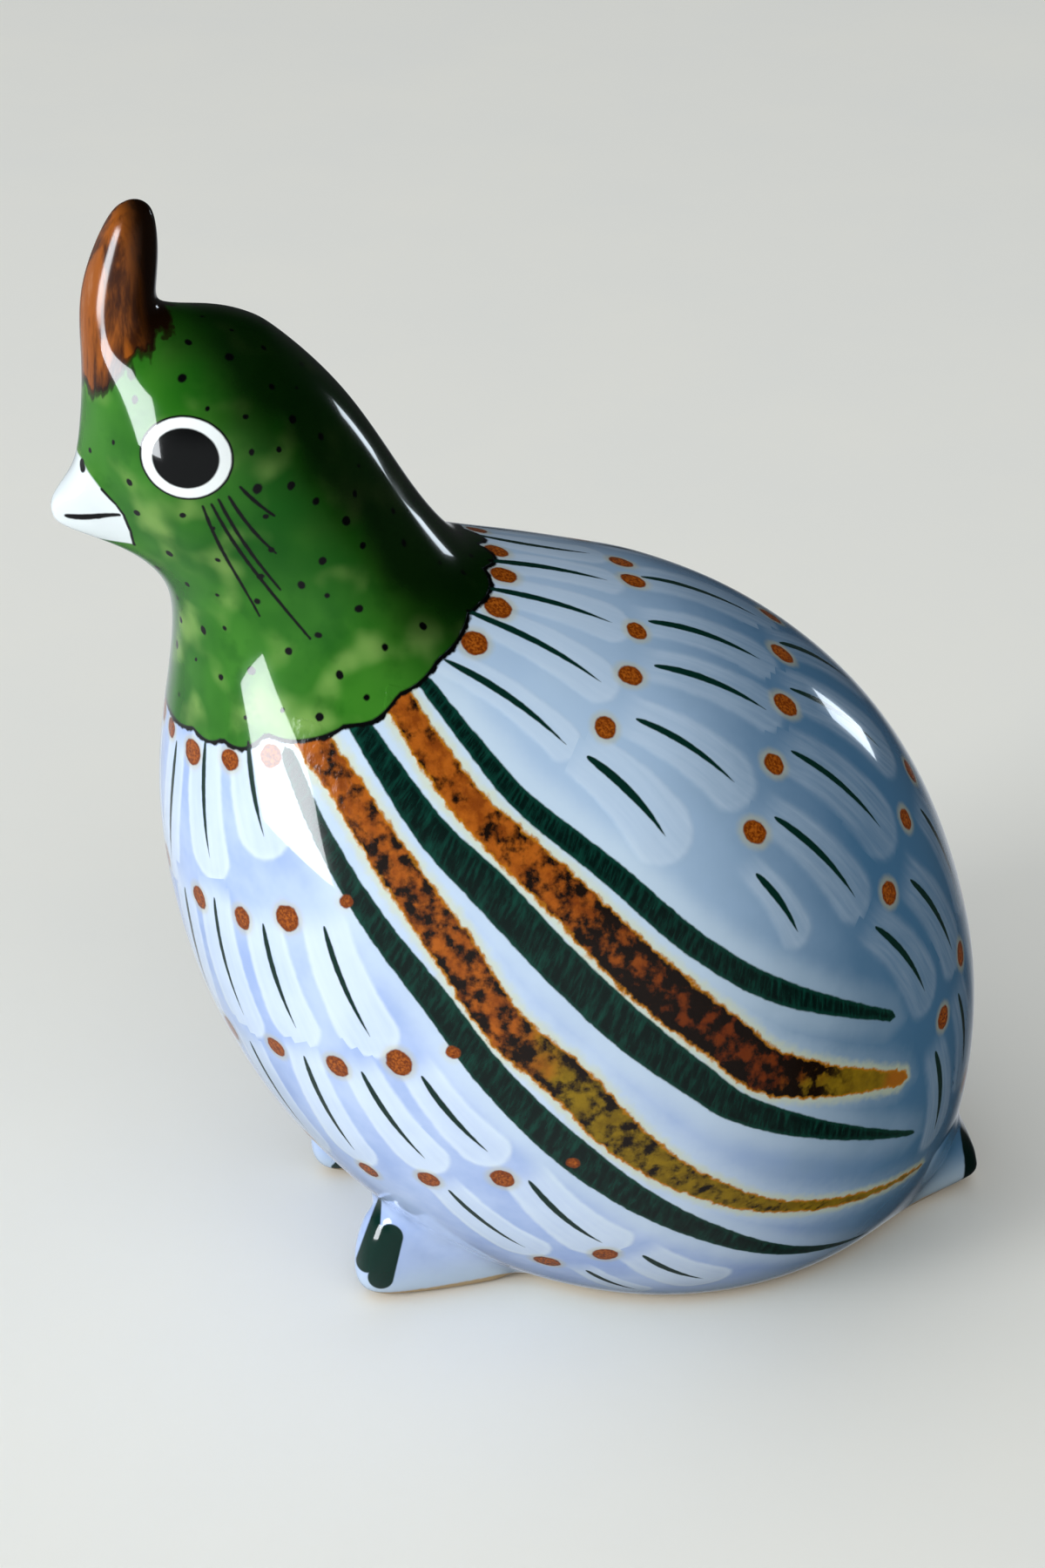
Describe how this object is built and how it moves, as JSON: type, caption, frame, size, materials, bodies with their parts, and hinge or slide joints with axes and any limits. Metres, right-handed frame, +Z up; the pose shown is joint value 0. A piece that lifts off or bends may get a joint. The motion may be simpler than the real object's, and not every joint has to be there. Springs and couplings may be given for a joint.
{
  "type": "quail sculpture",
  "caption": "Glazed ceramic quail standing on its belly and foot nubs, with a crest, short beak, stub tail and hand-painted feather pattern.",
  "frame": {"origin": "on the surface that the quail stands on, below the middle of its width and of its length from beak to tail", "axes": "+Z up, -Y the way the quail faces, +X out of its left side"},
  "size_m": [0.095, 0.1236, 0.1522],
  "materials": {
    "glazed_ceramic": "high gloss, pale blue glaze over painted feathers, dots and stripes, with a green glaze on the head and neck"
  },
  "bodies": {
    "root": {"quail": "glazed_ceramic"}
  },
  "joints": []
}
